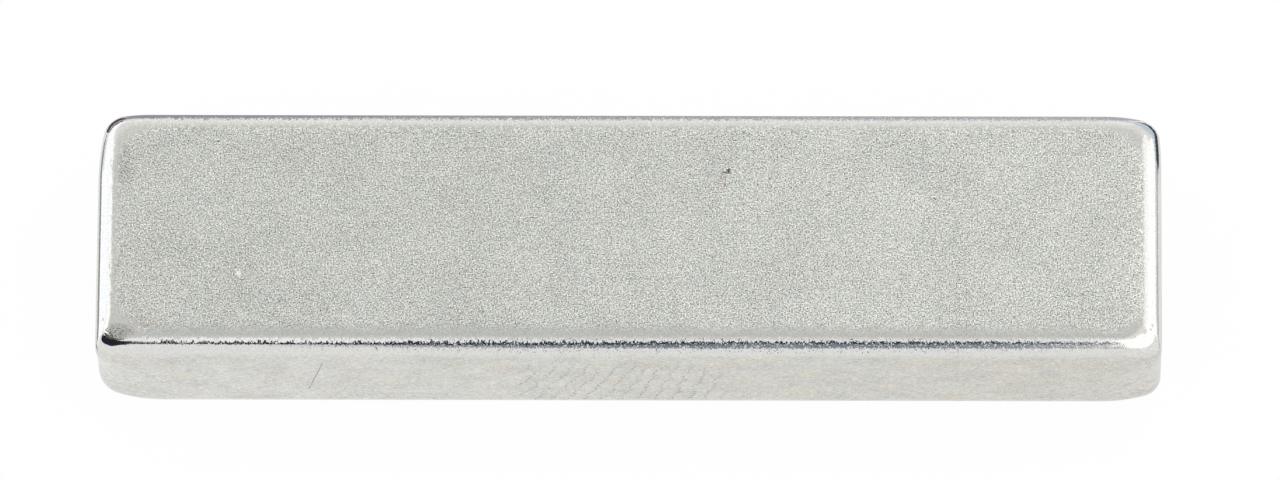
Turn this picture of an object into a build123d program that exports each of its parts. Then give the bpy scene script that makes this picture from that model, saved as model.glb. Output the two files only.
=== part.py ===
from build123d import *
import os
from math import cos, radians, sin

# Rectangular bar magnet: one pressed and sintered block with a bright metal plating, magnetised through
# its thickness. It lies flat on one pole face. X runs along its length, Y across its width and Z up
# through its thickness, and the origin is the middle of the lower pole face. Its front is towards -Y.
# All sizes are in millimetres, and are taken over the plating, which is too thin to be its own body.

# Overall size
length = 40.0
width = 10.0
thickness = 5.0

# The upright corners have worn by different amounts. At each one the long side first falls away by a
# few degrees on a large arc, and a tight arc then turns the rest of the way into the end face.
fall_away_radius = 6.0
front_left_radius = 1.05
front_left_fall = 17.0
front_right_radius = 0.9
front_right_fall = 15.0
back_right_radius = 0.95
back_right_fall = 13.0
back_left_radius = 1.25
back_left_fall = 6.5

# Soft rounds left by tumbling, all the way round each pole face
top_edge_radius = 0.7
bottom_edge_radius = 0.6


def corner_run_along_length(radius, fall):
    """How far from the end face a worn corner begins on the long side."""
    return radius + (fall_away_radius - radius) * sin(radians(fall))


def corner_run_along_width(radius, fall):
    """How far from the long side a worn corner ends on the end face."""
    return fall_away_radius - (fall_away_radius - radius) * cos(radians(fall))


def arc_after(edge, radius, turn):
    """An arc that carries on smoothly from the end of an edge and turns left."""
    return JernArc(start=edge @ 1, tangent=edge % 1, radius=radius, arc_size=turn)


# Where the four straight stretches of the outline stop, going round anticlockwise from the front left
front_start = -length / 2 + corner_run_along_length(front_left_radius, front_left_fall)
front_stop = length / 2 - corner_run_along_length(front_right_radius, front_right_fall)
right_stop = width / 2 - corner_run_along_width(back_right_radius, back_right_fall)
back_stop = -length / 2 + corner_run_along_length(back_left_radius, back_left_fall)
left_stop = -width / 2 + corner_run_along_width(front_left_radius, front_left_fall)

with BuildPart() as magnet_block:
    with BuildSketch(Plane.XY):
        with BuildLine():
            front_side = Line((front_start, -width / 2), (front_stop, -width / 2))
            front_right_fade = arc_after(front_side, fall_away_radius, front_right_fall)
            front_right_turn = arc_after(front_right_fade, front_right_radius, 90 - front_right_fall)
            right_end = Line(front_right_turn @ 1, (length / 2, right_stop))
            back_right_turn = arc_after(right_end, back_right_radius, 90 - back_right_fall)
            back_right_fade = arc_after(back_right_turn, fall_away_radius, back_right_fall)
            back_side = Line(back_right_fade @ 1, (back_stop, width / 2))
            back_left_fade = arc_after(back_side, fall_away_radius, back_left_fall)
            back_left_turn = arc_after(back_left_fade, back_left_radius, 90 - back_left_fall)
            left_end = Line(back_left_turn @ 1, (-length / 2, left_stop))
            front_left_turn = arc_after(left_end, front_left_radius, 90 - front_left_fall)
            arc_after(front_left_turn, fall_away_radius, front_left_fall)
        make_face()
    extrude(amount=thickness)
    lower_pole_face = magnet_block.faces().sort_by(Axis.Z)[0]
    fillet(lower_pole_face.edges(), bottom_edge_radius)
    upper_pole_face = magnet_block.faces().sort_by(Axis.Z)[-1]
    fillet(upper_pole_face.edges(), top_edge_radius)

magnet_block.part.label = "magnet_block"
os.makedirs("parts", exist_ok=True)
export_step(magnet_block.part, "parts/magnet_block.step")
print(f"block volume {magnet_block.part.volume:.2f} mm3")
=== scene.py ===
from math import cos, pi, radians, sin, tan

import bpy
import numpy as np
from mathutils import Matrix, Vector
from mathutils.geometry import delaunay_2d_cdt


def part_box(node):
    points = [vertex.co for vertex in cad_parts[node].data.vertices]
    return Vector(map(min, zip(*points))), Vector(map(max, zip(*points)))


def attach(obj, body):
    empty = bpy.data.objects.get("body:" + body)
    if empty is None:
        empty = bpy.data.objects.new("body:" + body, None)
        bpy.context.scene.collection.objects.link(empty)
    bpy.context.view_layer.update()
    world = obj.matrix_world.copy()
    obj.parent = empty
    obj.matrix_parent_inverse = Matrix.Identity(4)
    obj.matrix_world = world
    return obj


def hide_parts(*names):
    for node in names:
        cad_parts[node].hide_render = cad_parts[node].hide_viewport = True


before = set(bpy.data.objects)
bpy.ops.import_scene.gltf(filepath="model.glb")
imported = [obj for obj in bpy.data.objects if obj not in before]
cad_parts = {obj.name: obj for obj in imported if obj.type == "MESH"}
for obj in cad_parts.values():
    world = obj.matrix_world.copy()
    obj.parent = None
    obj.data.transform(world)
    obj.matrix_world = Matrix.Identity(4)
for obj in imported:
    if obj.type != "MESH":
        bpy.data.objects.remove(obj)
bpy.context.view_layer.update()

NODE = "magnet_block"
MM = 0.001

# Overall size in millimetres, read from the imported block, and where its end, front and back sides lie
LOW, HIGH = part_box(NODE)
LENGTH, WIDTH, THICKNESS = [side / MM for side in HIGH - LOW]
END, FRONT, BACK = LENGTH / 2, -WIDTH / 2, WIDTH / 2

# The worn upright corners: tight radius in millimetres, then how many degrees the long side and the end
# fall away before it, in the order front right, back right, back left, front left. The front ones are
# squarer high up than low down, and the upper pole face's edge turns more gently than the side below it.
# The side changes from low to high corners between the two heights of LOW_TO_HIGH
SIDE_FALL_RADIUS = 6.0
END_FALL_RADIUS = 12.0
LOW_CORNERS = ((0.82, 16.0, 1.7), (0.83, 13.6, 5.5), (0.85, 9.6, 9.7), (1.08, 16.6, 0.5))
HIGH_CORNERS = ((0.5, 4.0, 3.0), (0.83, 13.6, 5.5), (0.85, 9.6, 9.7), (0.45, 3.0, 2.0))
POLE_CORNERS = ((1.1, 4.0, 3.0), (0.85, 8.0, 5.0), (0.8, 6.0, 8.0), (1.0, 4.0, 3.0))
LOW_TO_HIGH = (1.5, 4.5)

# The tumbled rounds round the pole faces
TOP_ROUND = 0.7
BOTTOM_ROUND = 0.6

# Before each round the pole face already falls away a little: from SHOULDER_START in, to its steepest where
# the round starts, and back to nothing at SHOULDER_END. In millimetres and degrees
SHOULDER_START, SHOULDER_END = 1.4, 0.3
SHOULDER_TILT = 3.5

# Spacing of the points on the pole faces in millimetres, the share of it from one row of them to the next,
# and how far they keep from the rim. Then the steps in the section of the rim and side
STEP_ON_POLE = 0.22
ROW_SHARE = 0.866
CLEAR_OF_RIM = 0.1
ROUND_STEPS = 18
SIDE_STEPS = 12

# How many steps the outline has on its straight stretches, and on a corner's three arcs
STRAIGHT_COUNTS = (220, 44, 220, 44)
CORNER_COUNTS = (14, 22, 10)

# Small pits in the upper pole face as (x, y, half length, half width, depth), in millimetres. Their mesh is
# finer, and reaches a little beyond each pit. The smaller PIT_POWER, the steeper their walls
PITS = (
    (3.72, 2.47, 0.055, 0.11, 0.022), (3.60, 2.38, 0.10, 0.05, 0.018), (3.44, 2.20, 0.05, 0.035, 0.010),
    (3.57, 1.89, 0.055, 0.035, 0.012), (5.26, 2.12, 0.07, 0.055, 0.010), (4.94, 2.60, 0.035, 0.05, 0.008),
    (7.38, 1.43, 0.05, 0.03, 0.012), (7.47, 1.49, 0.05, 0.03, 0.012), (-15.49, 3.61, 0.045, 0.045, 0.022),
    (11.48, 1.30, 0.04, 0.04, 0.014), (19.24, 1.80, 0.05, 0.07, 0.012),
)
PIT_POWER = 0.7
PIT_REACH = 1.35
STEP_IN_PITS = 0.018

# Dark marks without depth there, as (x, y, half length, half width, strength)
STAINS = (
    (3.37, 2.01, 0.04, 0.03, 0.25), (5.32, 1.81, 0.04, 0.04, 0.2), (7.05, 1.83, 0.05, 0.04, 0.2),
    (17.37, -1.45, 0.07, 0.06, 0.2), (19.31, 3.55, 0.035, 0.06, 0.35), (19.34, 3.05, 0.03, 0.05, 0.3),
    (19.30, 2.62, 0.03, 0.05, 0.3), (19.31, 2.31, 0.03, 0.04, 0.3), (19.42, -3.92, 0.03, 0.08, 0.35),
    (8.10, 2.50, 0.02, 0.09, 0.2), (-6.74, 1.22, 0.02, 0.10, 0.2),
)

# Soft tints there, as (x, y, half length, half width, strength) with the colour of each group. The last group
# is painted shade on the pole face by its left end and its back left corner
TINTS_AND_PAINTED_SHADE = (
    (((-18.3, -3.9, 0.6, 0.2, 0.5), (3.5, 2.0, 0.25, 0.3, 0.6)), (0.92, 0.86, 0.83)),
    (((19.31, 3.55, 0.06, 0.09, 0.8), (19.34, 3.05, 0.05, 0.08, 0.8), (19.31, 2.5, 0.05, 0.2, 0.7)),
     (1.0, 0.86, 0.72)),
    # Painted shade on the pole face by its left end and its back left corner
    (((-19.05, 2.64, 0.35, 0.8, 0.6), (-17.7, 3.44, 0.4, 0.06, 0.7)), (0.82, 0.80, 0.80)),
)

# A pale fleck there, and the patch round the worn front left corner where a dark reflection is painted in
# specks
PALE_FLECK = (-14.64, -1.84, 0.10, 0.10, 1.0)
PAINTED_REFLECTION_PATCH = (-19.1, -4.2, 0.55, 0.3, 1.0)

# Dark nicks in the rim over the ends, as (x, y, half length, half width, strength)
RIM_NICKS = (
    (19.64, -3.84, 0.035, 0.06, 0.5), (19.55, -4.02, 0.035, 0.06, 0.5), (-19.70, -3.66, 0.025, 0.07, 0.5),
    (-19.64, -3.82, 0.025, 0.05, 0.5),
)

# Warm blotches on the front side, as (x, z, half length, half height, strength)
BLOTCHES = (
    (-19.16, 4.30, 0.40, 0.13, 0.6), (-17.3, 3.57, 0.35, 0.14, 0.5), (-16.5, 2.57, 0.30, 0.20, 0.5),
    (-15.5, 4.25, 0.5, 0.16, 0.6), (-14.3, 4.1, 0.5, 0.12, 0.4), (14.12, 2.63, 0.45, 0.18, 0.5),
    (-10.5, 4.1, 0.6, 0.12, 0.4), (-18.9, 3.6, 0.5, 0.10, 0.4), (0.4, 3.9, 0.7, 0.14, 0.35),
    (6.6, 3.1, 0.6, 0.15, 0.35), (10.6, 3.9, 0.5, 0.12, 0.35),
)

# Dark specks and short lines on the front side, as (x, z, half length, half height, strength)
FRONT_SPECKS = (
    (0.64, 3.75, 0.03, 0.03, 0.5), (13.66, 3.82, 0.03, 0.03, 0.5), (19.4, 3.95, 0.05, 0.03, 0.5),
    (-7.32, 0.69, 0.09, 0.03, 0.4), (0.52, 0.78, 0.08, 0.04, 0.4), (-13.88, 1.67, 0.12, 0.03, 0.35),
    (-9.6, 1.75, 0.10, 0.02, 0.3), (-9.0, 1.45, 0.12, 0.02, 0.35), (-8.8, 1.65, 0.03, 0.09, 0.3),
    (18.3, 4.1, 0.25, 0.015, 0.4), (-13.4, 3.0, 0.22, 0.02, 0.25),
)

# One long scratch on the front side, from its foot to its head, as (x, z)
SCRATCH = ((-12.04, 1.49), (-11.45, 3.96))

# A fingerprint on the front side: where its middle is along the block, how many ridges come to a
# millimetre there, how many more for each millimetre up, and how that grows for each millimetre right
PRINT_MIDDLE = -0.4
PRINT_RIDGES = 1.5
PRINT_LEAN, PRINT_LEAN_GROWTH = -0.6, 0.08

# The plating's grain as cells and as noise, in features a millimetre, and its height in millimetres
CELLS_PER_MM = 28.0
GRAIN_PER_MM = 19.0
GRAIN_HEIGHT = 0.001

# Along the edge of a pole face the plating takes the block's corners as round, with this radius
PLATING_CORNER = 2.4

# Colours of the plating and its marks, as red, green and blue
POLE_GREEN, POLE_PINK = (0.598, 0.620, 0.583), (0.620, 0.616, 0.586)
SIDE_GREY, SIDE_YELLOW, SIDE_PINK = (0.643, 0.646, 0.613), (0.655, 0.636, 0.572), (0.670, 0.623, 0.596)
SIDE_RIGHT_SHADE, BLOTCH_SHADE = (0.938, 0.928, 0.905), (1.0, 0.965, 0.86)
RIM_GREY = (0.72, 0.72, 0.695)
STAIN_COLOUR, FLECK_COLOUR = (0.11, 0.105, 0.10), (0.90, 0.90, 0.88)
# The last colour on the next line is a painted dark reflection, for the front left corner
SPECK_COLOUR, NICK_COLOUR, PAINTED_REFLECTION_COLOUR = (0.2, 0.2, 0.19), (0.20, 0.22, 0.28), (0.12, 0.115, 0.09)

# The white table: half its side in millimetres, its colour, and how much of what is seen of it is plain
# white, whatever falls on it
FLOOR_HALF_SIDE = 3000.0
FLOOR_COLOUR = (0.96, 0.96, 0.96)
FLOOR_WHITE_SHARE = 0.955

# The photograph's camera, fitted to the block's outline. Lengths are in millimetres, angles in degrees
PHOTO_WIDTH, PHOTO_HEIGHT = 1279, 480
CAMERA_DISTANCE = 720.0
CAMERA_ELEVATION = 65.289
CAMERA_YAW = 1.596
CAMERA_ROLL = -1.334
PIXELS_PER_MM = 26.554
BLOCK_CENTRE_PIXEL = (629.743, 257.649)
SENSOR_WIDTH = 36.0

# How bright the studio dome is from the back (-90 degrees) over the top (0) to the front (90), as (degrees,
# red, green, blue), and its light beyond the ends of the block. A ramp only holds levels up to 1, so it
# gets them divided by the strength of the dome
DOME_OVER = (
    (-180, 1.0, 1.0, 1.0), (-88, 0.72, 0.73, 0.78), (-82, 0.93, 0.95, 1.0), (-72, 1.06, 1.07, 1.10),
    (-65, 1.16, 1.16, 1.18), (-57, 0.95, 0.96, 0.94), (-44, 0.97, 0.97, 0.92), (-34, 0.83, 0.83, 0.82),
    (-24, 0.765, 0.765, 0.755), (-12, 0.685, 0.685, 0.675), (-4, 0.74, 0.74, 0.74), (4, 0.80, 0.80, 0.80),
    (11, 1.05, 1.05, 1.06), (22, 1.08, 1.08, 1.09), (64, 0.98, 0.98, 0.98), (90, 0.97, 0.97, 0.96),
    (180, 1.0, 1.0, 1.0),
)
DOME_ENDS = (1.0, 1.0, 1.0)
DOME_STRENGTH = 2.0

# Windows and panels in the dome, each in front of those before it, as a convex outline and its light. The
# corners go round clockwise as (turn, rise, softness): degrees clockwise from the back, degrees up from the
# table, and how soft the edge is that runs on to the next corner
LEFT_WINDOW = (
    ((-73, -8, 0.04), (-80, 44, 0.1), (-50, 38, 0.06), (-12, 40, 0.05), (-12, 20, 0.03), (-56, -4, 0.04)),
    (1.34, 1.38, 1.44))
LEFT_NEAR_WINDOW = (
    ((-72, 30, 0.04), (-82, 50, 0.06), (-64, 56, 0.08), (-62, 36, 0.08)),
    (1.3, 1.3, 1.3))
RIGHT_WINDOW = (
    ((13, 30, 0.15), (27, 66, 0.2), (70, 84, 0.1), (78, 50, 0.05), (75, -4, 0.04), (60, -2, 0.04)),
    (0.98, 0.96, 0.94))
RIGHT_CORE = (
    ((49, 10, 0.1), (60, 58, 0.1), (78, 66, 0.05), (78, 50, 0.05), (75, -4, 0.04), (60, -2, 0.04)),
    (1.42, 1.41, 1.40))
OVERHEAD_WINDOW = (
    ((60, 30, 0.15), (40, 82, 0.1), (150, 82, 0.04), (132, 51, 0.03), (98, 43, 0.03), (76, 30, 0.03)),
    (1.42, 1.42, 1.42))
BLUE_WINDOW = (
    ((8, -4, 0.03), (12, 23, 0.03), (34, 27, 0.03), (50, 19, 0.03), (66, 5, 0.03), (70, -4, 0.03)),
    (0.66, 0.79, 0.92))
DARK_CORNER = (
    ((-70, -4, 0.02), (-66, 2, 0.02), (-48, 8, 0.03), (-36, 20, 0.03), (-24, 23, 0.03), (-16, 12, 0.03),
     (-8, -4, 0.02)),
    (0.32, 0.29, 0.33))
WINDOWS = (
    LEFT_WINDOW, LEFT_NEAR_WINDOW, RIGHT_WINDOW, RIGHT_CORE, OVERHEAD_WINDOW, BLUE_WINDOW, DARK_CORNER,
)

# The light of each kind of card: one colour, or two where it changes from the left to the right
CARD_LIGHTS = {
    "dark_card": ((0.018, 0.018, 0.035),),
    "blue_card": ((0.25, 0.30, 0.36),),
    "white_card": ((1.15, 1.15, 1.19),),
    "light_card": ((1.42, 1.42, 1.42),),
    "grey_card": ((0.38, 0.37, 0.42), (0.56, 0.56, 0.59)),
    "cream_card": ((1.0, 0.97, 0.93),),
    "haze_card": ((0.2, 0.19, 0.15),),
    "dusk_card": ((0.07, 0.075, 0.095),),
    "plum_card": ((0.10, 0.065, 0.075),),
}

# Cards overhead lie this far above the block, in millimetres
CARD_HEIGHT = 200.0

# Cards over the camera's side, as (name, light, corners). A corner is (millimetres along the block, degrees
# from the zenith to the front)
FRONT_CARDS = (
    ("front_card", "dark_card",
     ((14, 19), (21.3, 18.5), (22.6, 21), (21.4, 25), (21.5, 32), (7, 33), (0, 36), (-5, 43), (-15, 44),
      (-22, 43), (-26, 41), (-31, 43), (-29, 33), (-23, 31), (-18, 29), (-12, 27), (-8, 25), (0, 22),
      (7, 20.5))),
    ("camera_card", "blue_card",
     ((21.5, 32), (22.3, 46), (23, 58), (6, 59), (-2, 63), (-14, 62), (-19, 48), (-15, 44), (-5, 43),
      (0, 36), (7, 33))),
    ("line_card", "white_card",
     ((-13, 13), (-15, 27), (-27, 31), (-26.5, 8))),
    ("near_right_card", "light_card",
     ((21.5, 8), (21.6, 34), (23.1, 53), (45, 52), (77, 46), (104, 38), (149, 28), (178, 16), (182, 0),
      (110, -8), (70, -10), (54, -5), (40, -1), (26, 4))),
    ("fringe_card", "cream_card",
     ((25, -1), (26, 4), (40, -1), (54, -5), (70, -10), (110, -8), (110, -14), (66, -19), (50, -13),
      (38, -7))),
)

# Cards overhead that the front left corner mirrors. A corner is (turn, rise) as in a window
CORNER_CARDS = (
    ("left_card", "dark_card",
     ((184, 64), (184, 45), (215, 47), (240, 46), (258, 36), (274, 26), (282, 31), (279, 46), (265, 60),
      (250, 70), (225, 73), (200, 70))),
    ("haze_card", "haze_card",
     ((225, 74), (250, 70), (265, 60), (279, 46), (287, 50), (280, 66), (250, 79), (225, 80))),
)

# Cards on the table or close to it, seen only in reflections: the grey, dusk and plum ones paint darker
# patches of the table, painted shade, and the light one a painted pool of light. A corner is (x, y, z) in
# millimetres
TABLE_CARDS = (
    ("back_card", "grey_card",
     ((-20, 7.5, 0.1), (20, 7.5, 0.1), (23, 80, 12), (-24, 80, 12))),
    ("back_right_card", "dusk_card",
     ((27, 6.5, 0.25), (44, 14, 0.25), (150, 67, 0.25), (40, 146, 0.25), (24, 14, 0.25))),
    ("back_left_card", "plum_card",
     ((-27, 10, 0.2), (-21, 12.5, 0.2), (-32, 146, 0.2), (-143, 90, 0.2))),
    ("right_strip", "grey_card",
     ((35, 30, 0.15), (35, -6, 0.15), (75, -6, 0.15), (75, 48, 0.15))),
    ("left_strip", "grey_card",
     ((-26, 8, 0.2), (-26, -6, 0.2), (-35, -6, 0.2), (-35, 15, 0.2))),
    ("left_floor", "light_card",
     ((-37, -4, 0.2), (-300, -20, 0.2), (-300, 140, 0.2), (-37, 12, 0.2))),
)


# Geometry

def corner_arcs(corner, turn_in):
    """The arcs of a worn corner as (radius, degrees), in the order in which the outline meets them."""
    radius, side_fall, end_fall = corner
    arcs = [(SIDE_FALL_RADIUS, side_fall), (radius, 90.0 - side_fall - end_fall), (END_FALL_RADIUS, end_fall)]
    return arcs if turn_in else arcs[::-1]


def corner_run(corner):
    """How far a worn corner reaches along the length and across the width."""
    along = across = 0.0
    heading = 0.0
    for radius, degrees in corner_arcs(corner, True):
        turned = heading + radians(degrees)
        along += radius * (sin(turned) - sin(heading))
        across += radius * (cos(heading) - cos(turned))
        heading = turned
    return along, across


def outline(corners, inset=0.0):
    """Points and outward normals round the block seen from above, anticlockwise from the front left."""
    front_right, back_right, back_left, front_left = corners
    runs = {corner: corner_run(corner) for corner in corners}
    x = -END + inset + runs[front_left][0]
    y = FRONT + inset
    heading = 0.0
    points, normals = [], []
    stretches = (
        (LENGTH, 0, front_left, front_right),
        (WIDTH, 1, front_right, back_right),
        (LENGTH, 0, back_right, back_left),
        (WIDTH, 1, back_left, front_left),
    )
    for number, (count, (whole, axis, before, corner)) in enumerate(zip(STRAIGHT_COUNTS, stretches)):
        straight = whole - 2 * inset - runs[before][axis] - runs[corner][axis]
        for share in np.arange(count) / count:
            points.append((x + straight * share * cos(heading), y + straight * share * sin(heading)))
            normals.append((sin(heading), -cos(heading)))
        x += straight * cos(heading)
        y += straight * sin(heading)
        turn_in = number % 2 == 0
        counts = CORNER_COUNTS if turn_in else CORNER_COUNTS[::-1]
        for (radius, degrees), steps in zip(corner_arcs(corner, turn_in), counts):
            turn = radians(degrees)
            centre_x, centre_y = x - radius * sin(heading), y + radius * cos(heading)
            for angle in heading + turn * np.arange(steps) / steps:
                points.append((centre_x + radius * sin(angle), centre_y - radius * cos(angle)))
                normals.append((sin(angle), -cos(angle)))
            heading += turn
            x, y = centre_x + radius * sin(heading), centre_y - radius * cos(heading)
    return np.array(points), np.array(normals)


def profile():
    """The section of rim and side as (inset, height), from the lower pole face up to the upper one."""
    rows = []
    for angle in np.linspace(0, pi / 2, ROUND_STEPS + 1):
        rows.append((BOTTOM_ROUND * (1 - sin(angle)), BOTTOM_ROUND * (1 - cos(angle))))
    side_top = THICKNESS - TOP_ROUND
    for share in np.linspace(0, 1, SIDE_STEPS + 1)[1:-1]:
        rows.append((0.0, BOTTOM_ROUND + share * (side_top - BOTTOM_ROUND)))
    for angle in np.linspace(0, pi / 2, ROUND_STEPS + 1):
        rows.append((TOP_ROUND * (1 - cos(angle)), side_top + TOP_ROUND * sin(angle)))
    return rows


def shoulder_drop(inset, round_start):
    """How far the pole face has fallen at an inset from the outline, beyond the round itself."""
    inset = np.clip(inset, SHOULDER_END, SHOULDER_START)
    steepest = tan(radians(SHOULDER_TILT))
    outer = np.clip(SHOULDER_START - inset, 0, SHOULDER_START - round_start)
    drop = steepest * outer ** 2 / (2 * (SHOULDER_START - round_start))
    past = np.clip(round_start - inset, 0, round_start - SHOULDER_END)
    return drop + steepest * (past - past ** 2 / (2 * (round_start - SHOULDER_END)))


def distance_to(rim, points):
    """How far each point lies from the nearest side of a closed outline."""
    nearest = np.full(len(points), np.inf)
    for start, stop in zip(rim, np.roll(rim, -1, axis=0)):
        run = stop - start
        share = np.clip(((points - start) @ run) / (run @ run), 0, 1)
        nearest = np.minimum(nearest, np.hypot(*(points - start - share[:, None] * run).T))
    return nearest


def away_from(pit, points):
    """How far each point lies from the middle of a pit, which ends at 1."""
    x, y, half_x, half_y, _ = pit
    return np.hypot((points[:, 0] - x) / half_x, (points[:, 1] - y) / half_y)


def pit_depth(points, pits):
    """How deep the pits are at each point."""
    depth = np.zeros(len(points))
    for pit in pits:
        deepest = pit[4]
        depth = np.maximum(depth, deepest * np.clip(1 - away_from(pit, points) ** 2, 0, 1) ** PIT_POWER)
    return depth


def points_in(pit):
    """A fine square mesh of points in a pit and just round it."""
    x, y, half_x, half_y, _ = pit
    reach_x, reach_y = half_x * PIT_REACH, half_y * PIT_REACH
    fine_x, fine_y = np.meshgrid(np.arange(-reach_x, reach_x, STEP_IN_PITS),
                                 np.arange(-reach_y, reach_y, STEP_IN_PITS))
    fine = np.column_stack((fine_x.ravel() + x, fine_y.ravel() + y))
    return fine[away_from(pit, fine) < PIT_REACH]


def pole_face_points(rim, pits):
    """Evenly spread points inside a rim, in offset rows, clear of the rim itself, and closer in the pits."""
    points = []
    for number, y in enumerate(np.arange(FRONT, BACK, STEP_ON_POLE * ROW_SHARE)):
        shift = STEP_ON_POLE / 2 * (number % 2)
        for x in np.arange(-END + shift, END, STEP_ON_POLE):
            points.append((x, y))
    points = np.array(points)
    for pit in pits:
        points = np.vstack((points[away_from(pit, points) > PIT_REACH], points_in(pit)))
    inside = np.ones(len(points), bool)
    for (ax, ay), (bx, by) in zip(rim, np.roll(rim, -1, axis=0)):
        run = np.hypot(bx - ax, by - ay)
        distance = ((bx - ax) * (points[:, 1] - ay) - (by - ay) * (points[:, 0] - ax)) / run
        inside &= distance > CLEAR_OF_RIM
    return points[inside]


def add_rim_and_side(vertices, faces):
    """Rows of four-sided faces from the lower pole face up to the upper one. Gives where each row starts."""
    low_points, low_normals = outline(LOW_CORNERS)
    high_points = outline(HIGH_CORNERS)[0]
    pole_points = outline(POLE_CORNERS, TOP_ROUND)[0]
    count = len(low_points)
    rings = []
    for inset, height in profile():
        rings.append(len(vertices))
        share = np.clip((height - LOW_TO_HIGH[0]) / (LOW_TO_HIGH[1] - LOW_TO_HIGH[0]), 0, 1)
        share = share * share * (3 - 2 * share)
        ring = low_points + (high_points - low_points) * share
        if height < BOTTOM_ROUND:
            ring = ring - low_normals * inset
            height += float(shoulder_drop(inset, BOTTOM_ROUND))
        elif height > THICKNESS - TOP_ROUND:
            ring = ring + (pole_points - ring) * inset / TOP_ROUND
            height -= float(shoulder_drop(inset, TOP_ROUND))
        vertices.extend((x, y, height) for x, y in ring)
    for low, high in zip(rings, rings[1:]):
        for i in range(count):
            j = (i + 1) % count
            faces.append((low + i, low + j, high + j, high + i))
    return rings, count


def add_pole_face(vertices, faces, first, count, facing_up):
    """An even mesh of triangles inside the rim whose row of vertices starts at first."""
    height, round_start = (THICKNESS, TOP_ROUND) if facing_up else (0.0, BOTTOM_ROUND)
    pits = PITS if facing_up else ()
    rim = np.array([vertices[first + i][:2] for i in range(count)])
    inner = pole_face_points(rim, pits)
    drops = shoulder_drop(distance_to(rim, inner) + round_start, round_start) + pit_depth(inner, pits)
    heights = height - drops if facing_up else height + drops
    flat = [Vector(p) for p in np.vstack((rim, inner))]
    edges = [(i, (i + 1) % count) for i in range(count)]
    only_inside, merge_within = 1, 1e-7
    spread, _, triangles, source, _, _ = delaunay_2d_cdt(flat, edges, [], only_inside, merge_within)
    number = {}
    for i, came_from in enumerate(source):
        if came_from and came_from[0] < count:
            number[i] = first + came_from[0]
        else:
            number[i] = len(vertices)
            vertices.append((spread[i].x, spread[i].y, heights[came_from[0] - count]))
    for triangle in triangles:
        corners = [number[i] for i in triangle]
        faces.append(corners if facing_up else corners[::-1])


def block_mesh():
    """The block as one closed mesh: rows round the rims and sides, and an even mesh on each pole face."""
    vertices, faces = [], []
    rings, count = add_rim_and_side(vertices, faces)
    add_pole_face(vertices, faces, rings[0], count, facing_up=False)
    add_pole_face(vertices, faces, rings[-1], count, facing_up=True)
    mesh = bpy.data.meshes.new("nickel_block")
    mesh.from_pydata([tuple(c * MM for c in v) for v in vertices], [], faces)
    mesh.validate()
    mesh.polygons.foreach_set("use_smooth", [True] * len(mesh.polygons))
    mesh.update()
    return mesh


# Materials

class Graph:
    """A node tree, with short ways to add nodes and join them. Colours are red, green and blue."""

    def __init__(self, tree):
        self.tree = tree
        self.tree.nodes.clear()

    def add(self, kind, inputs=None, **settings):
        """A new node. Its inputs are given by name or number, each as a value or another node's output."""
        node = self.tree.nodes.new(kind)
        for name, value in settings.items():
            setattr(node, name, value)
        for name, value in (inputs or {}).items():
            self.put(node.inputs[name], value)
        return node

    def put(self, socket, value):
        if isinstance(value, bpy.types.NodeSocket):
            self.tree.links.new(value, socket)
        elif socket.type == "RGBA":
            socket.default_value = (*value, 1)
        else:
            socket.default_value = value

    def math(self, operation, *values):
        node = self.add("ShaderNodeMath", dict(enumerate(values)), operation=operation)
        return node.outputs[0]

    def product(self, first, *others):
        for other in others:
            first = self.math("MULTIPLY", first, other)
        return first

    def strongest(self, first, *others):
        for other in others:
            first = self.math("MAXIMUM", first, other)
        return first

    def sum_of(self, *terms):
        """Weighted terms added up, as (value, weight) pairs with a plain number last."""
        total = terms[-1]
        for value, weight in terms[:-1]:
            total = self.math("MULTIPLY_ADD", value, weight, total)
        return total

    def centred(self, *terms, middle=0.0):
        """Weighted terms added up, as (value, weight) pairs, that give the middle where each value is 0.5."""
        return self.sum_of(*terms, middle - sum(weight for _, weight in terms) / 2)

    def ease(self, value, start, stop, low=0.0, high=1.0):
        """A smooth step of value from low at start to high at stop."""
        ranges = {"From Min": start, "From Max": stop, "To Min": low, "To Max": high}
        node = self.add("ShaderNodeMapRange", {"Value": value, **ranges}, interpolation_type="SMOOTHSTEP")
        return node.outputs["Result"]

    def mix(self, share, first, second):
        node = self.add("ShaderNodeMix", {0: share}, data_type="RGBA")
        self.put(node.inputs[6], first)
        self.put(node.inputs[7], second)
        return node.outputs[2]

    def vector(self, operation, *values):
        """The result of a calculation with vectors, which for some is a plain number."""
        node = self.add("ShaderNodeVectorMath", dict(enumerate(values)), operation=operation)
        return node.outputs["Value" if operation in ("LENGTH", "DOT_PRODUCT") else "Vector"]

    def stretch(self, vector, factors):
        """A vector scaled by a factor along each axis."""
        return self.vector("MULTIPLY", vector, factors)

    def scale(self, vector, factor):
        node = self.add("ShaderNodeVectorMath", {0: vector, "Scale": factor}, operation="SCALE")
        return node.outputs["Vector"]


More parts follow.
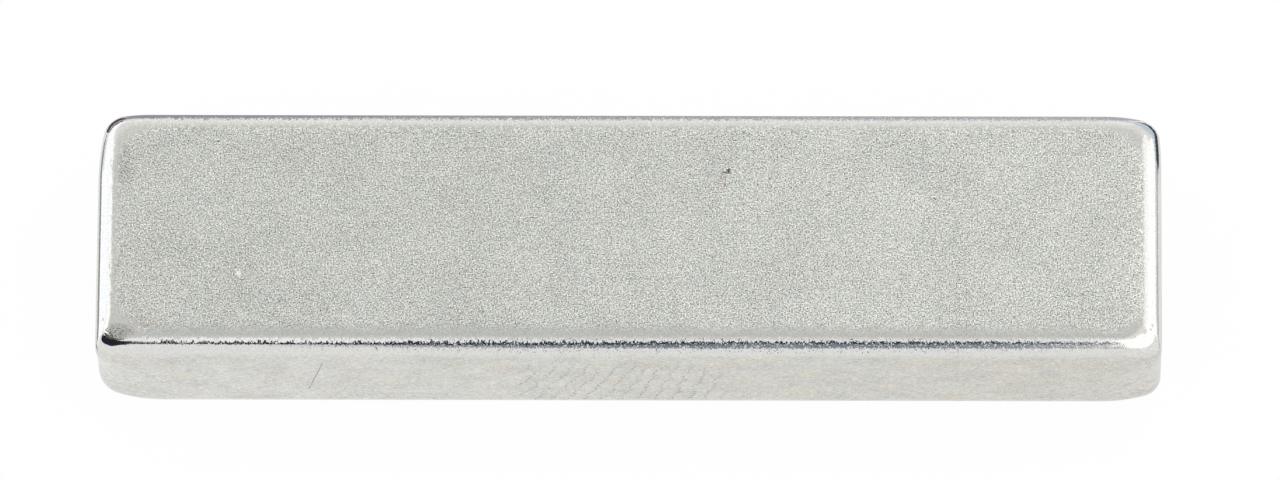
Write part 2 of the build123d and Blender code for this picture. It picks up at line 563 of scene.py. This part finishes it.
class Plating(Graph):
    """The plating's node tree. It finds out which part of the block a point is on, and gives its look."""

    def __init__(self, tree):
        super().__init__(tree)
        place = self.add("ShaderNodeTexCoord").outputs["Object"]
        self.mm = self.stretch(place, (1 / MM,) * 3)
        self.x, self.y, self.z = self.add("ShaderNodeSeparateXYZ", {"Vector": self.mm}).outputs
        self.from_middle = self.math("ABSOLUTE", self.x)
        self.frayed = self.fray(13.0, 0.065)
        self.grain = self.noise(GRAIN_PER_MM)
        self.streaks = self.noise(1.0, 3.0, 0.65, (5.0, 5.0, 16.0))

        # A random vector for each small cell, like a casting's grains, and two levels out of it
        cells = self.add("ShaderNodeTexVoronoi", {"Vector": self.mm, "Scale": CELLS_PER_MM})
        self.facets = cells.outputs["Color"]
        levels = self.add("ShaderNodeSeparateColor", {"Color": self.facets}).outputs
        self.cells, self.leanings = levels[0], levels[1]
        self.find_parts()

    def noise(self, scale, detail=0.0, roughness=0.5, factors=None):
        """Soft noise from 0 to 1, which may be finer along one axis than along another."""
        place = self.stretch(self.mm, factors) if factors else self.mm
        amounts = {"Vector": place, "Scale": scale, "Detail": detail, "Roughness": roughness}
        return self.add("ShaderNodeTexNoise", amounts).outputs["Fac"]

    def fray(self, scale, reach):
        """The point's place in millimetres, moved a little this way and that, for ragged marks."""
        wobble = self.add("ShaderNodeTexNoise", {"Vector": self.mm, "Scale": scale, "Detail": 0.0})
        wobble = self.vector("MULTIPLY_ADD", wobble.outputs["Color"], (2 * reach,) * 3, (-reach,) * 3)
        return self.vector("ADD", self.mm, wobble)

    def find_parts(self):
        """Which part of the block a point is on, with ragged borders between the finishes."""
        near_front = self.ease(self.y, FRONT + 1.3, FRONT + 0.7)
        self.worn_front = self.product(near_front, self.ease(self.from_middle, END - 1.4, END - 2.8))
        self.calm = self.at_worn_front(0.3)
        ragged = self.product(self.centred((self.grain, 0.3)), self.at_worn_front(0.35))
        self.inset = self.math("ADD", self.distance_in(), ragged)
        self.pole = self.ease(self.inset, 0.55, 0.95)
        from_pole = self.math("MINIMUM", self.z, self.math("SUBTRACT", THICKNESS, self.z))
        from_pole = self.math("ADD", from_pole, ragged)
        self.side = self.product(self.ease(from_pole, 0.3, 0.75), self.math("SUBTRACT", 1.0, self.pole))
        self.rim = self.math("SUBTRACT", 1.0, self.math("ADD", self.pole, self.side))
        self.on_top = self.ease(self.z, THICKNESS - 0.4, THICKNESS - 0.3)
        self.on_front = self.ease(self.y, FRONT + 0.8, FRONT + 0.4)
        # The patch round the worn front left corner where a dark reflection is painted in specks
        self.painted_reflection_patch = self.spots_on_top([PAINTED_REFLECTION_PATCH])

    def distance_in(self):
        """How far a point lies inside the block's outline, whose corners are taken as round."""
        beyond_x = self.math("SUBTRACT", self.from_middle, END - PLATING_CORNER)
        beyond_y = self.math("SUBTRACT", self.math("ABSOLUTE", self.y), BACK - PLATING_CORNER)
        inner = self.math("MINIMUM", self.math("MAXIMUM", beyond_x, beyond_y), 0.0)
        past_x = self.math("MAXIMUM", beyond_x, 0.0)
        past_y = self.math("MAXIMUM", beyond_y, 0.0)
        squares = self.math("ADD", self.product(past_x, past_x), self.product(past_y, past_y))
        return self.math("SUBTRACT", PLATING_CORNER, self.math("ADD", inner, self.math("SQRT", squares)))

    def at_worn_front(self, level):
        """A level along the worn front edge of the pole faces, and 1 elsewhere."""
        return self.ease(self.worn_front, 0.0, 1.0, 1.0, level)

    def spots(self, marks, upright=False):
        """The strongest of many oval spots, each (across, along, half length, half width, strength)."""
        level = 0.0
        for across, along, half_across, half_along, strength in marks:
            sizes = (1 / half_across, 1 / half_along)
            shift = (-across * sizes[0], -along * sizes[1])
            sizes = (sizes[0], 0.0, sizes[1]) if upright else (*sizes, 0.0)
            shift = (shift[0], 0.0, shift[1]) if upright else (*shift, 0.0)
            away = self.vector("LENGTH", self.vector("MULTIPLY_ADD", self.frayed, sizes, shift))
            level = self.strongest(level, self.ease(away, 1.25, 0.75, 0.0, strength))
        return level

    def spots_on_top(self, marks):
        return self.product(self.spots(marks), self.on_top)

    def pole_colour(self):
        """Even crystalline grain on the pole faces, with faint green and pink clouds, and painted light and
        shade: lighter towards the right end, darker along the worn front edge.
        """
        clouds = self.noise(1.3, 3.0, 0.6)
        mottle = self.noise(3.2, 1.0)
        drifts = self.noise(0.45, 2.0)
        tint = self.mix(self.ease(clouds, 0.35, 0.65), POLE_GREEN, POLE_PINK)
        fine = self.centred((self.cells, 0.29), (self.grain, 2.1), (mottle, 0.3))
        tone = self.math("MULTIPLY_ADD", fine, self.calm, 1.0)
        tone = self.math("ADD", tone, self.centred((drifts, 0.24)))
        # Painted light and shade: lighter towards the right end, darker along the worn front edge
        light = self.product(self.at_worn_front(0.915), self.ease(self.x, -12.0, 12.0, 1.012, 1.066))
        return self.scale(tint, self.product(tone, light))

    def with_marks(self, colour):
        """The upper pole face's pits with dark floors, its stains, its pale fleck and its soft tints, the
        last group of which is painted shade.
        """
        pit_floors = [(*oval, min(1.0, 0.3 + 32 * depth)) for *oval, depth in PITS]
        colour = self.mix(self.spots_on_top(pit_floors + list(STAINS)), colour, STAIN_COLOUR)
        colour = self.mix(self.spots_on_top([PALE_FLECK]), colour, FLECK_COLOUR)
        for marks, shade in TINTS_AND_PAINTED_SHADE:
            colour = self.mix(self.spots_on_top(marks), colour, self.stretch(colour, shade))
        return colour

    def side_colour(self):
        """Fine marks along the length of the sides, with warm tarnish in flat patches."""
        patches = self.noise(1.0, 3.0, 0.55, (0.55, 0.55, 1.9))
        pink_patches = self.noise(1.3, 3.0, 0.55, (0.7, 0.7, 2.2))
        drifts = self.noise(1.0, 1.0, 0.5, (0.9, 0.9, 2.0))
        wisps = self.noise(1.0, 1.0, 0.5, (2.2, 2.2, 5.0))
        tint = self.mix(self.ease(patches, 0.48, 0.68), SIDE_GREY, SIDE_YELLOW)
        tint = self.mix(self.ease(pink_patches, 0.52, 0.7, 0.0, 0.7), tint, SIDE_PINK)
        tint = self.mix(self.ease(self.x, -14.0, 17.0), tint, self.stretch(tint, SIDE_RIGHT_SHADE))
        blotches = self.product(self.spots(BLOTCHES, upright=True), self.on_front)
        tint = self.mix(blotches, tint, self.stretch(tint, BLOTCH_SHADE))
        tone = self.centred((self.cells, 0.3), (self.streaks, 1.0), (drifts, 0.28), (wisps, 0.2), middle=1.0)
        dark = self.product(self.front_marks(drifts), self.on_front)
        return self.mix(dark, self.scale(tint, tone), SPECK_COLOUR)

    def front_marks(self, drifts):
        """How strong the front side's dark marks are: a fingerprint, a scratch, nicks and specks."""
        dashes = self.noise(1.0, factors=(10.0, 10.0, 12.0))
        nicks = self.noise(1.0, factors=(9.0, 9.0, 22.0))
        return self.strongest(
            self.product(self.fingerprint(drifts, dashes), 0.5),
            self.product(self.scratch(dashes), 0.75),
            self.ease(nicks, 0.28, 0.14, 0.0, 0.25),
            self.spots(FRONT_SPECKS, upright=True),
        )

    def fingerprint(self, drifts, dashes):
        """Greasy ridges that wander a little, broken into short dashes."""
        lean = self.math("MULTIPLY_ADD", self.x, PRINT_LEAN_GROWTH, PRINT_LEAN)
        phase = self.sum_of((self.x, PRINT_RIDGES), (self.product(self.z, lean), 1.0), (drifts, 0.9), 0.0)
        from_ridge = self.math("ABSOLUTE", self.math("SUBTRACT", self.math("FRACT", phase), 0.5))
        from_print = self.math("ABSOLUTE", self.math("SUBTRACT", self.x, PRINT_MIDDLE))
        ridges = self.product(self.ease(from_ridge, 0.18, 0.06), self.ease(dashes, 0.5, 0.6))
        return self.product(ridges, self.ease(from_print, 4.6, 3.2), self.ease(self.z, 4.2, 3.2))

    def scratch(self, dashes):
        """A straight scratch that is fainter here and there."""
        (foot_x, foot_z), (head_x, head_z) = SCRATCH
        slope = (head_x - foot_x) / (head_z - foot_z)
        off_line = self.sum_of((self.z, -slope), (self.x, 1.0), head_z * slope - head_x)
        line = self.ease(self.math("ABSOLUTE", off_line), 0.034, 0.012)
        above_foot = self.ease(self.z, foot_z - 0.04, foot_z + 0.11)
        below_head = self.ease(self.z, head_z + 0.04, head_z - 0.16)
        return self.product(line, self.ease(dashes, 0.3, 0.5, 0.35, 1.0), above_foot, below_head)

    def rim_colour(self):
        """Bright and smooth, with a few dark nicks over the ends."""
        tone = self.centred((self.cells, 0.16), (self.grain, 0.2), middle=1.0)
        return self.mix(self.spots_on_top(RIM_NICKS), self.scale(RIM_GREY, tone), NICK_COLOUR)

    def colour(self):
        """The colour of the whole block, with a dark reflection painted in specks round the worn front left
        corner.
        """
        around = self.mix(self.side, self.rim_colour(), self.side_colour())
        colour = self.mix(self.pole, around, self.with_marks(self.pole_colour()))
        # A dark reflection painted in specks
        painted_reflection_specks = self.product(self.painted_reflection_patch, self.ease(self.cells, 0.3, 0.9, 0.0, 0.75))
        return self.mix(painted_reflection_specks, colour, PAINTED_REFLECTION_COLOUR)

    def speckle(self):
        """How far each cell of a rim leans outward or inward."""
        front = self.product(self.ease(self.cells, 0.55, 1.0), self.ease(self.x, -14.0, -2.0, 0.4, 1.7))
        amount = self.math("ADD", front, self.ease(self.y, BACK - 1.2, BACK - 0.6, 0.1, 0.5))
        amount = self.product(amount, self.ease(self.from_middle, END - 1.6, END - 2.8, 0.12, 1.0))
        return self.product(self.centred((self.leanings, 1.0)), amount, self.rim)

    def teeth(self):
        """Small upright teeth where the rim turns, which lean outward or inward."""
        lean = self.noise(1.0, 1.0, 0.6, (14.0, 2.5, 2.5))
        at_turn = self.product(self.ease(self.inset, 0.32, 0.42), self.ease(self.inset, 0.62, 0.52))
        return self.product(self.centred((lean, 1.0)), at_turn, self.ease(self.x, -4.0, 2.0, 1.7, 0.9))

    def normal(self):
        """The plating's fine relief: grain and streaks, speckled rims, and cells that each lean their way."""
        grain_height = self.product(self.grain, self.calm, self.ease(self.inset, 0.45, 0.95, 0.5, 5.0))
        height = self.math("ADD", grain_height, self.product(self.streaks, self.side, 1.6))
        bump = self.add("ShaderNodeBump", {"Height": height, "Strength": 1.0, "Distance": GRAIN_HEIGHT * MM})
        bumpy = bump.outputs["Normal"]
        outward = self.math("ADD", self.teeth(), self.speckle())
        normal = self.vector("ADD", bumpy, self.scale(self.stretch(bumpy, (1.0, 1.0, 0.0)), outward))
        calm_pole = self.product(self.pole, self.calm)
        tilts = self.sum_of((calm_pole, 0.2), (self.side, 0.05), (self.painted_reflection_patch, 0.1), 0.012)
        turned = self.scale(self.vector("SUBTRACT", self.facets, (0.5, 0.5, 0.5)), tilts)
        return self.vector("NORMALIZE", self.vector("ADD", turned, normal))

    def roughness(self):
        return self.sum_of((self.pole, 0.29), (self.side, 0.18), 0.08)


def new_material(name, kind=Graph):
    """An empty material, and its node tree as a graph of a kind."""
    material = bpy.data.materials.new(name)
    material.use_nodes = True
    return material, kind(material.node_tree)


def nickel():
    """Nickel plating: grainy on the pole faces, polished on the rims, faintly brushed on the sides."""
    material, g = new_material("nickel_plating", Plating)
    looks = {"Base Color": g.colour(), "Roughness": g.roughness(), "Normal": g.normal()}
    shader = g.add("ShaderNodeBsdfPrincipled", {"Metallic": 1.0, **looks})
    g.add("ShaderNodeOutputMaterial", {"Surface": shader.outputs[0]})
    return material


def floor_material():
    """A white table top that keeps a light shadow under the block."""
    material, g = new_material("white_table")
    lit = g.add("ShaderNodeBsdfDiffuse", {"Color": FLOOR_COLOUR})
    white = g.add("ShaderNodeEmission", {"Color": (1, 1, 1), "Strength": 1.0})
    path = g.add("ShaderNodeLightPath").outputs
    seen = g.strongest(path["Is Camera Ray"], path["Is Glossy Ray"], path["Is Transmission Ray"])
    share = g.product(seen, FLOOR_WHITE_SHARE)
    mixed = g.add("ShaderNodeMixShader", {0: share, 1: lit.outputs[0], 2: white.outputs[0]})
    g.add("ShaderNodeOutputMaterial", {"Surface": mixed.outputs[0]})
    return material


def glow(name, colour, right_colour=None):
    """A material that only gives light. It may change from one colour at the left to another at the right."""
    material, g = new_material(name)
    if right_colour:
        place = g.add("ShaderNodeTexCoord").outputs["Object"]
        across = g.add("ShaderNodeSeparateXYZ", {"Vector": place}).outputs[0]
        colour = g.mix(g.ease(across, -END * MM, END * MM), colour, right_colour)
    light = g.add("ShaderNodeEmission", {"Color": colour, "Strength": 1.0})
    g.add("ShaderNodeOutputMaterial", {"Surface": light.outputs[0]})
    return material


# The scene

def put_in_scene(name, data):
    """A new object, in the scene."""
    thing = bpy.data.objects.new(name, data)
    bpy.context.scene.collection.objects.link(thing)
    return thing


def make_block():
    block = put_in_scene("nickel_block", block_mesh())
    block.data.materials.append(nickel())
    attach(block, "root")
    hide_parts(NODE)


def make_floor():
    half = FLOOR_HALF_SIDE * MM
    corners = [(-half, -half, 0), (half, -half, 0), (half, half, 0), (-half, half, 0)]
    mesh = bpy.data.meshes.new("floor")
    mesh.from_pydata(corners, [], [(0, 1, 2, 3)])
    mesh.materials.append(floor_material())
    put_in_scene("floor", mesh)


def toward(turn, rise):
    """A direction: turned clockwise from the back, seen from above, and raised from the table, in degrees."""
    turn, rise = radians(turn), radians(rise)
    return Vector((sin(turn) * cos(rise), cos(turn) * cos(rise), sin(rise)))


def window(g, direction, corners):
    """How far a direction looks into a window whose corners go round clockwise, from 0 to 1."""
    share = 1.0
    for (*first, softness), (*second, _) in zip(corners, corners[1:] + corners[:1]):
        inward = toward(*first).cross(toward(*second)).normalized()
        above_edge = g.vector("DOT_PRODUCT", direction, inward)
        share = g.product(share, g.ease(above_edge, -softness, softness))
    return share


def dimmed(light):
    """A light divided by the dome's strength."""
    return tuple(level / DOME_STRENGTH for level in light)


def dome_ramp(g, y, z):
    """The dome's light from the back over the top to the front, divided by the dome's strength."""
    turn = g.math("ARCTAN2", g.product(y, -1.0), z)
    ramp = g.add("ShaderNodeValToRGB", {"Fac": g.math("MULTIPLY_ADD", turn, 1 / (2 * pi), 0.5)})
    elements = ramp.color_ramp.elements
    while len(elements) < len(DOME_OVER):
        elements.new(0.5)
    for element, (degrees, *_) in zip(elements, DOME_OVER):
        element.position = degrees / 360.0 + 0.5
    for element, (_, *light) in zip(elements, DOME_OVER):
        element.color = (*dimmed(light), 1)
    return ramp.outputs["Color"]


def make_world():
    """A studio dome that changes from the back over the top to the front, with windows and panels in it."""
    world = bpy.data.worlds.new("studio")
    bpy.context.scene.world = world
    world.use_nodes = True
    g = Graph(world.node_tree)
    direction = g.add("ShaderNodeTexCoord").outputs["Generated"]
    x, y, z = g.add("ShaderNodeSeparateXYZ", {"Vector": direction}).outputs
    beyond_ends = g.product(g.ease(g.math("ABSOLUTE", x), 0.25, 0.6), g.ease(z, 0.9, 0.7))
    level = g.mix(beyond_ends, dome_ramp(g, y, z), dimmed(DOME_ENDS))
    for corners, light in WINDOWS:
        level = g.mix(window(g, direction, corners), level, dimmed(light))
    background = g.add("ShaderNodeBackground", {"Color": level, "Strength": DOME_STRENGTH})
    g.add("ShaderNodeOutputWorld", {"Surface": background.outputs[0]})


def softbox(name, centre, width, height, level):
    """An area lamp of a given brightness, facing the block. Lengths are in millimetres."""
    lamp = bpy.data.lights.new(name, "AREA")
    lamp.shape = "RECTANGLE"
    lamp.size, lamp.size_y = width * MM, height * MM
    lamp.energy = pi * lamp.size * lamp.size_y * level
    holder = put_in_scene(name, lamp)
    holder.location = Vector(centre) * MM
    to_block = Vector((0, 0, THICKNESS)) * MM - holder.location
    holder.rotation_euler = to_block.to_track_quat("-Z", "Y").to_euler()
    holder.visible_camera = False


def over_front(across, angle):
    """A point above the block, over a place along it, seen at an angle from the zenith to the front."""
    return across, FRONT - CARD_HEIGHT * tan(radians(angle)), THICKNESS + CARD_HEIGHT


def over_corner(turn, rise):
    """A point above the block, seen from its front left corner in a direction as in toward()."""
    ray = toward(turn, rise)
    return Vector((-END, FRONT, THICKNESS)) + ray * (CARD_HEIGHT / ray.z)


def as_given(x, y, z):
    return x, y, z


def card(name, corners, material):
    """A flat sheet that only reflections see, with its corners in millimetres."""
    mesh = bpy.data.meshes.new(name)
    mesh.from_pydata([tuple(c * MM for c in corner) for corner in corners], [], [tuple(range(len(corners)))])
    mesh.materials.append(material)
    sheet = put_in_scene(name, mesh)
    for rays in ("camera", "diffuse", "shadow", "transmission", "volume_scatter"):
        setattr(sheet, "visible_" + rays, False)


def make_cards():
    """What the room puts on the rims: dark and pale sheets overhead, and sheets on the table that paint shade
    and light on it.
    """
    materials = {name: glow(name, *colours) for name, colours in CARD_LIGHTS.items()}
    for place, cards in ((over_front, FRONT_CARDS), (over_corner, CORNER_CARDS), (as_given, TABLE_CARDS)):
        for name, light, corners in cards:
            card(name, [place(*corner) for corner in corners], materials[light])


def make_camera():
    """The photograph's view: aimed so that the block's centre falls on its own pixel, with no lens shift."""
    elevation, yaw, roll = radians(CAMERA_ELEVATION), radians(CAMERA_YAW), radians(CAMERA_ROLL)
    back = Vector((sin(yaw) * cos(elevation), -cos(yaw) * cos(elevation), sin(elevation)))
    right = Vector((cos(yaw), sin(yaw), 0))
    up = back.cross(right)
    turned_right = right * cos(roll) + up * sin(roll)
    turned_up = up * cos(roll) - right * sin(roll)
    aim = Vector((0, 0, THICKNESS / 2))
    aim += turned_right * ((PHOTO_WIDTH / 2 - BLOCK_CENTRE_PIXEL[0]) / PIXELS_PER_MM)
    aim += turned_up * ((BLOCK_CENTRE_PIXEL[1] - PHOTO_HEIGHT / 2) / PIXELS_PER_MM)
    camera = bpy.data.cameras.new("camera")
    camera.sensor_width = SENSOR_WIDTH
    camera.lens = SENSOR_WIDTH * PIXELS_PER_MM * CAMERA_DISTANCE / PHOTO_WIDTH
    camera.clip_start, camera.clip_end = 0.01, 20.0
    place = Matrix((turned_right, turned_up, back)).transposed().to_4x4()
    place.translation = (aim + back * CAMERA_DISTANCE) * MM
    holder = put_in_scene("camera", camera)
    holder.matrix_world = place
    bpy.context.scene.camera = holder


make_block()
make_floor()
make_world()
make_cards()
softbox("right_softbox", centre=(190, 170, 330), width=160, height=220, level=0.3)
softbox("left_softbox", centre=(-260, 135, 293), width=130, height=130, level=0.38)
make_camera()
bpy.context.scene.view_settings.view_transform = "Standard"
